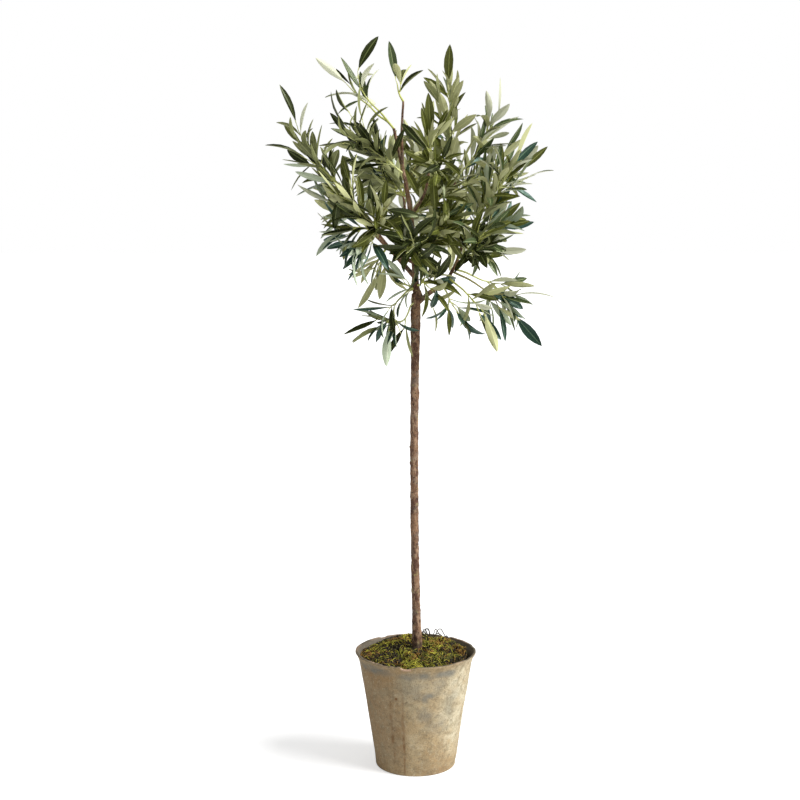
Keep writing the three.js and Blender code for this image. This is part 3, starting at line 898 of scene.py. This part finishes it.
def leaf_on(crown, mass, place, along, around, spread, size, rng):
    """One leaf: it leaves its twig at an angle of `spread` on the side given by `around`,
    with its upper side towards the twig's tip, up and outwards, and is then twisted and
    tipped a little. One that would stray out of its mass lies closer to its twig, and is
    left out if it would stray even so."""
    across, over = side_vectors(along, UP if abs(along[2]) < 0.9 else (1.0, 0.0, 0.0))
    outward = swung(across, over, around)
    lean = UP * rng.normal(0.04, 0.22)
    turn = rng.normal(0, 0.6)
    tip = rng.normal(0, 0.12, 3)
    grown = size * rng.uniform(0.8, 1.12)
    for tuck in TUCKS:
        heading = unit(swung(along, outward, spread * tuck) + lean)
        if mass.distance(place[None] + heading * grown)[0] < STRAY:
            facing = along - heading * np.dot(along, heading)
            facing = unit(facing + UP * UPWARD + unit(place * (1, 1, 0)) * OUTWARD + tip)
            crown.leaves.append((place, heading, turned_about(facing, heading, turn), grown, mass.spray))
            return


def dress_shoot(crown, mass, path, rng, bare=0.0, size=LEAF_LENGTH, tip=None):
    """Pairs of leaves along a shoot, each pair a quarter turn on from the last and closer to
    the shoot towards its tip, where a last leaf carries straight on, or reaches to `tip`."""
    step = NODE_STEP
    length = path_length(path)
    first = bare * length + 0.4 * step
    count = max(int((length - first) / step + 0.35), 1)
    fine = resample(path, 60)
    ways = tangents(fine)
    around = rng.uniform(0, TURN)
    for number in range(count):
        reach = min(first + number * step + rng.normal(0, 0.1) * step, length)
        index = int(round(reach / length * 59))
        near_tip = reach / length
        around += math.pi / 2 + rng.normal(0, 0.25)
        spread = math.radians(WIDE_LEAVES - (WIDE_LEAVES - CLOSE_LEAVES) * near_tip)
        grown = size * (1.05 - 0.2 * near_tip)
        for side in (0, math.pi):
            if rng.random() < MISSING:
                continue
            place = min(max(index + int(rng.normal(0, 0.12) * step / length * 60), 0), 59)
            leaf_on(crown, mass, fine[place], ways[place], around + side + rng.normal(0, 0.3),
                    spread + rng.normal(0, 0.24), grown, rng)
    if tip is None:
        leaf_on(crown, mass, fine[-1], ways[-1], rng.uniform(0, TURN), 0.14, size * 0.85, rng)
        return
    heading = unit(tip - fine[-1])
    facing = unit(np.cross(heading, rng.normal(0, 1, 3)) + UP * UPWARD)
    crown.leaves.append((fine[-1], heading, facing, np.linalg.norm(tip - fine[-1]), mass.spray))


def by_name(table, node):
    """The value that goes with the first of a table's words that is in a node's name."""
    return next(value for word, value in table.items() if word in node)


def grow_spray(crown, mass, rng):
    """One mass of foliage: a leading shoot from the nearest limb or earlier leading shoot
    along the mass's middle, and side shoots a golden angle apart, about as long as the mass
    is wide there."""
    across, over = mass.sides
    near = np.vstack([LIMB_POINTS, *crown.leaders])
    foot = near[np.linalg.norm(near - mass.root, axis=1).argmin()]
    spine = along_curve(np.vstack([foot, mass.middles, mass.tip]), 80)
    length = path_length(spine)
    keep = max(1 - LEAF_LENGTH / length, 0.35)
    leading = spine[: int(80 * keep)]
    wobble = rng.normal(0, 1.6 * MM, (5, 3))
    wobble[0] = 0
    leading = leading + along_curve(wobble, len(leading))
    crown.add_shoot(leading, TWIG_RADIUS, TIP_RADIUS, mass.spray)
    crown.leaders.append(leading[: len(leading) * 2 // 3])
    bare = bare_share(mass)
    dress_shoot(crown, mass, leading, rng, bare=bare, tip=mass.tip)
    around = rng.uniform(0, TURN)
    count = int(round(fullness(mass) * length / SIDE_STEP))
    ways = tangents(leading)
    for number in range(count):
        place = bare + (SIDES_END - bare) * (number + rng.uniform(0.2, 0.8)) / count
        index = int(place * (len(leading) - 1))
        around += GOLDEN_ANGLE + rng.normal(0, 0.3)
        room = read_along(place * keep, Mass.places, mass.halves)
        outward = swung(across, over, around)
        width = 1 / math.hypot(math.cos(around) / room[0], math.sin(around) / room[1])
        reach = max(width * rng.uniform(1.0, 1.5) - 0.25 * LEAF_LENGTH, SIDE_SHORTEST)
        angle = rng.uniform(0.5, 0.85)
        start = leading[index]
        heading = unit(swung(ways[index], outward, angle))
        bend = unit(heading + ways[index] * 0.5 + UP * rng.normal(0.05, 0.15))
        bow = start + heading * reach * 0.6
        side = along_curve([start, bow, bow + bend * reach * 0.6], 20)
        crown.add_shoot(side, TWIG_RADIUS * 0.72, TIP_RADIUS * 0.9, mass.spray)
        dress_shoot(crown, mass, side, rng, bare=0.2, size=LEAF_LENGTH * 0.95)


def grow_crown():
    """Every mass's spray, each from a random stream of its own."""
    crown = Crown()
    for mass in SHAPES:
        grow_spray(crown, mass, np.random.default_rng(CROWN_SEED * 100 + mass.spray))
    return crown


# ---------- leaves

LEAF_RINGS = np.array([0, 0.025, 0.1, 0.25, 0.44, 0.63, 0.8, 0.93, 1])  # along it, with its ends
LEAF_ROUND = 6  # points in a ring: four over the upper side, two under the rib
STALK = 4  # the number of the stalk's finish, after the blade's four
RIB = 0.1  # half of the rib, as a share of half the leaf's width
LEAF_STALK = 0.07  # share of the length that is stalk
LEAF_SLENDER = 0.107  # half its width over its length
NARROW_SHARE, NARROW = 0.10, 0.45  # share of leaves that are narrow, and how narrow
LEAF_THICK = 0.5 * MM
STALK_THICK = 1.3 * MM


def leaf_outline(t):
    """Half width along a leaf, as a share of its widest: a narrow stalk, then a lance, the
    sine of a skewed angle, blunt at its tip and fullest near its middle."""
    blade = np.clip((t - LEAF_STALK) / (1 - LEAF_STALK), 0, 1)
    lance = np.sin(math.pi * blade**1.04) ** 0.78
    return np.maximum(lance, 0.09)


def leaf_points(place, heading, facing, length, rng):
    """Points of many leaves at once. A leaf is a lance-shaped strip, folded along its rib,
    bowed along its length by a steady turn, swerved and twisted. Each ring has four points
    over the upper side, edge, rib, rib and edge, and two a leaf's thickness under the rib."""
    heading = unit(heading)
    facing = unit(facing - heading * (facing * heading).sum(axis=1, keepdims=True))
    aside = np.cross(heading, facing)
    count = len(length)
    half = length * LEAF_SLENDER * rng.uniform(0.8, 1.2, count)
    narrow = rng.random(count) < NARROW_SHARE
    half = np.where(narrow, half * NARROW, half)[:, None, None]
    fold = np.where(narrow, rng.uniform(0.7, 1.0, count), rng.uniform(0.2, 0.65, count))[:, None, None]
    t = LEAF_RINGS[:, None]
    bends = ((-0.25, 0.45), (0, 0.18), (0, 0.35))
    turn, swing, twist = (rng.normal(*bend, count)[:, None, None] * t for bend in bends)
    place, heading, facing, aside = (v[:, None] for v in (place, heading, facing, aside))
    ahead = heading * (np.cos(turn) * np.cos(swing)) + facing * np.sin(turn)
    ahead = ahead + aside * (np.sin(swing) * np.cos(turn))
    rib = place + np.cumsum(ahead * np.diff(t, axis=0, prepend=0), axis=1) * length[:, None, None]
    flank = unit(np.cross(ahead, swung(facing, -heading, turn)))
    lift = np.cross(flank, ahead)
    flank, lift = swung(flank, lift, twist), swung(lift, -flank, twist)
    across = half * leaf_outline(t) * np.array([-1, -RIB, RIB, 1, RIB, -RIB])
    stalk = 1 - smoothstep(LEAF_STALK, LEAF_STALK * 2.5, t)
    below = np.array([0, 0, 0, 0, 1, 1]) * (LEAF_THICK + (STALK_THICK - LEAF_THICK) * stalk)
    rise = np.abs(across) * np.tan(fold) - below
    grid = rib[:, :, None] + flank[:, :, None] * across[..., None] + lift[:, :, None] * rise[..., None]
    rings = grid[:, 1:-1].reshape(count, -1, 3)
    return np.concatenate([rings, rib[:, :1], rib[:, -1:]], axis=1)


def leaf_faces():
    """The faces of one leaf and their finishes: 0 the upper blade, 1 its rib, 2 the under
    blade, 3 its rib and 4 the stalk. The under side's quads start one corner on, so that
    both sides crease along the same diagonal and can't cut through each other."""
    quads, caps = closed_tube(len(LEAF_RINGS) - 2, LEAF_ROUND)
    kinds = np.resize([0, 1, 0, 2, 3, 2], len(quads))
    quads = np.where((kinds > 1)[:, None], np.roll(quads, -1, axis=1), quads)
    kinds[:LEAF_ROUND] = STALK
    return (quads, kinds), (caps, np.array([STALK] * LEAF_ROUND + [0, 0, 0, 2, 2, 2]))


# What the sprays are coloured: upper side, its rib, under side, its rib.
TINTS = {
    "deep": ((0.022, 0.029, 0.007), (0.12, 0.15, 0.04), (0.24, 0.26, 0.10), (0.48, 0.50, 0.22)),
    "teal": ((0.026, 0.060, 0.040), (0.13, 0.23, 0.14), (0.50, 0.58, 0.41), (0.64, 0.69, 0.50)),
    "olive": ((0.085, 0.098, 0.018), (0.30, 0.33, 0.07), (0.57, 0.58, 0.29), (0.72, 0.73, 0.38)),
    "sage": ((0.060, 0.088, 0.030), (0.28, 0.33, 0.15), (0.80, 0.82, 0.60), (0.86, 0.88, 0.66)),
}
SHEEN = {"deep": (0.9, 1, 0.55), "teal": (0.7, 1, 0.9), "olive": (1, 1, 0.5), "sage": (0.9, 1, 0.7)}
STALK_COLOUR = (0.60, 0.62, 0.20)
OWN_TINT = 0.45  # share of leaves that may differ from their spray

# How the tints are dealt out: shares of deep, teal, olive and sage, by the first of these
# words in a mass's name. The tints are the leaves' own colours, but their shares by place also
# paint light and shade: darker tints where the crown is in shade, on the left, at the rear and in
# its core, and paler ones where the key light falls, on the right and at the crest.
TINT_AND_SHADE_SHARE = {
    "crest": (0.18, 0.0, 0.02, 0.80),
    "crown": (0.75, 0.10, 0.10, 0.05),
    "top_far": (0.10, 0.10, 0.35, 0.45),
    "top": (0.25, 0.05, 0.50, 0.20),
    "upper_left": (0.75, 0.0, 0.15, 0.10),
    "far_left": (0.75, 0.10, 0.15, 0.0),
    "fan": (0.15, 0.85, 0.0, 0.0),
    "hanging_left": (0.55, 0.35, 0.10, 0.0),
    "hanging_far": (0.55, 0.40, 0.05, 0.0),
    "hanging": (0.10, 0.35, 0.30, 0.25),
    "small": (0.10, 0.20, 0.40, 0.30),
    "front_right": (0.25, 0.0, 0.45, 0.30),
    "core_right": (0.20, 0.08, 0.42, 0.30),
    "front": (0.62, 0.0, 0.32, 0.06),
    "low_left": (0.40, 0.20, 0.30, 0.10),
    "left": (0.55, 0.15, 0.20, 0.10),
    "low_right": (0.0, 0.13, 0.30, 0.57),
    "rear": (0.62, 0.10, 0.25, 0.03),
    "core_low": (0.15, 0.10, 0.45, 0.30),
    "core": (0.50, 0.08, 0.32, 0.10),
    "fork": (0.30, 0.20, 0.35, 0.15),
    "crook": (0.40, 0.30, 0.20, 0.10),
    "tip": (0.0, 0.10, 0.20, 0.70),
    "right": (0.0, 0.13, 0.30, 0.57),
}
TWIG_COLOURS = {"green": (0.60, 0.63, 0.18), "old": (0.34, 0.31, 0.12), "young": (0.74, 0.77, 0.34)}


def leaf_finish(name, colour, roughness, sheen=(1, 1, 1)):
    """A leaf's skin: one plain tint, with fine cloudy changes of gloss and a faint grain."""
    skin = Finish(name, colour)
    feed(skin.tree, skin.skin["Specular Tint"], sheen)
    skin.gloss(skin.patches(140, 0.3, 0.7), roughness - 0.07, roughness + 0.1)
    skin.relief(fineness=900, depth=0.15, distance=0.3 * MM)
    return skin.material


# Which masses are joined into one piece of leaves, by the words in their names.
REGIONS = {
    "hanging": ("hanging", "small", "crook"),
    "front": ("front",),
    "rear": ("rear",),
    "crest": ("crest", "crown", "top", "core", "fork"),
    "left": ("left",),
    "right": ("right",),
}


def region_of(node):
    """The first region that has a word of a mass's name."""
    return next(region for region, words in REGIONS.items() if any(w in node for w in words))


def make_leaves(crown):
    """One piece of leaves for each region. A spray's leaves share its tint, apart from some
    that take another by the same shares."""
    finishes = []
    parts = (("upper", 0.27), ("upper_rib", 0.36), ("under", 0.6), ("under_rib", 0.58))
    for name, colours in TINTS.items():
        for (part, roughness), colour in zip(parts, colours):
            sheen = SHEEN[name] if part == "upper" else (1, 1, 1)
            finishes.append(leaf_finish(f"leaf_{name}_{part}", colour, roughness, sheen))
    finishes.append(leaf_finish("leaf_stalk", STALK_COLOUR, 0.5))
    rng = np.random.default_rng(SEED + 500)
    shares = [by_name(TINT_AND_SHADE_SHARE, node) for node in MASSES]
    tint_of_spray = np.array([rng.choice(len(TINTS), p=share) for share in shares])
    *leaves, sprays = map(np.array, zip(*crown.leaves))
    own = np.array([rng.choice(len(TINTS), p=shares[spray]) for spray in sprays])
    tint = np.where(rng.random(len(sprays)) < OWN_TINT, own, tint_of_spray[sprays])
    regions = np.array([region_of(node) for node in MASSES])
    for region in REGIONS:
        chosen = regions[sprays] == region
        points = leaf_points(*[values[chosen] for values in leaves], rng)
        first = 4 * tint[chosen][:, None]
        faces, slots = [], []
        for shape, kinds in leaf_faces():
            faces.append(repeated(shape, *points.shape[:2]))
            slots.append(np.where(kinds == STALK, len(finishes) - 1, first + kinds).ravel())
        piece = new_piece("leaves_" + region, points, faces, finishes, np.concatenate(slots), sharp=50)
        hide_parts(*[n for n in MASSES if region_of(n) == region])


# ---------- twigs


def make_twigs(crown):
    """Each shoot as a thin tube, coloured by spray."""
    finishes = [leaf_finish("twig_" + n, c, 0.55) for n, c in TWIG_COLOURS.items()]
    paths, thick, sprays = map(np.array, zip(*crown.shoots))
    rng = np.random.default_rng(SEED + 700)
    colour = rng.choice(len(finishes), len(MASSES), p=(0.5, 0.2, 0.3))[sprays]
    piece = tube_piece("twigs", paths, thick, SHOOT_SIDES, finishes, colour)


# ---------- stage, light and camera

CAMERA_AT = (-26.3 * MM, -2.68, 1.027)
CAMERA_DOWN = math.radians(8.589)
LENS = 74.25
SKY_LIGHT = 0.43
SKY_GLOSS = 0.20  # what the sky gives to reflections
KEY_LIGHT = 3.9
KEY_SOFTNESS = math.radians(36)
KEY_TOWARDS = (-0.75, 0.3, -0.57)
FLOOR_SIZE = 14.0
FLOOR_COLOUR = (0.8, 0.8, 0.8)
FLOOR_LIFT = 0.5  # white added to the floor that the camera sees


def make_stage():
    """The camera, a white floor, a pale studio and a wide soft key from the front right."""
    camera = new_object("camera", bpy.data.cameras.new("camera"))
    camera.data.lens = LENS
    camera.data.sensor_width = 36
    camera.location = CAMERA_AT
    camera.rotation_euler = (math.pi / 2 - CAMERA_DOWN, 0, 0)
    bpy.context.scene.camera = camera
    mesh = bpy.data.meshes.new("floor")
    corners = np.array([(-1, -1, 0), (1, -1, 0), (1, 1, 0), (-1, 1, 0)]) * FLOOR_SIZE
    mesh.from_pydata(corners, [], [(0, 1, 2, 3)])
    paper = Finish("floor_paper", FLOOR_COLOUR, roughness=0.9, specular=0.0)
    feed(paper.tree, paper.skin["Emission Color"], (1, 1, 1))
    seen = paper.add("LightPath").outputs["Is Camera Ray"]
    feed(paper.tree, paper.skin["Emission Strength"], paper.times(seen, FLOOR_LIFT))
    mesh.materials.append(paper.material)
    floor = new_object("floor", mesh)
    world = bpy.data.worlds.new("studio")
    bpy.context.scene.world = world
    world.use_nodes = True
    tree = world.node_tree
    sky = next(n for n in tree.nodes if n.type == "BACKGROUND").inputs
    path = add_node(tree, "LightPath").outputs
    level = add_node(tree, "MapRange", Value=path["Is Glossy Ray"], To_Min=SKY_LIGHT, To_Max=SKY_GLOSS)
    shown = add_node(tree, "MapRange", Value=path["Is Camera Ray"], To_Min=level.outputs[0], To_Max=1.0)
    feed(tree, sky["Strength"], shown.outputs[0])
    feed(tree, sky["Color"], (1, 1, 1))
    lamp = bpy.data.lights.new("key", "SUN")
    lamp.energy = KEY_LIGHT
    lamp.angle = KEY_SOFTNESS
    key = new_object("key", lamp)
    key.rotation_euler = Vector(KEY_TOWARDS).to_track_quat("-Z", "Y").to_euler()
    bpy.context.scene.view_settings.view_transform = "Standard"


make_stage()
make_pot()
make_moss()
make_tendrils()
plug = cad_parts["potting_plug"].data
plug.materials.clear()
plug.materials.append(plug_finish())
make_bark(bark_finish())
crown = grow_crown()
make_leaves(crown)
make_twigs(crown)
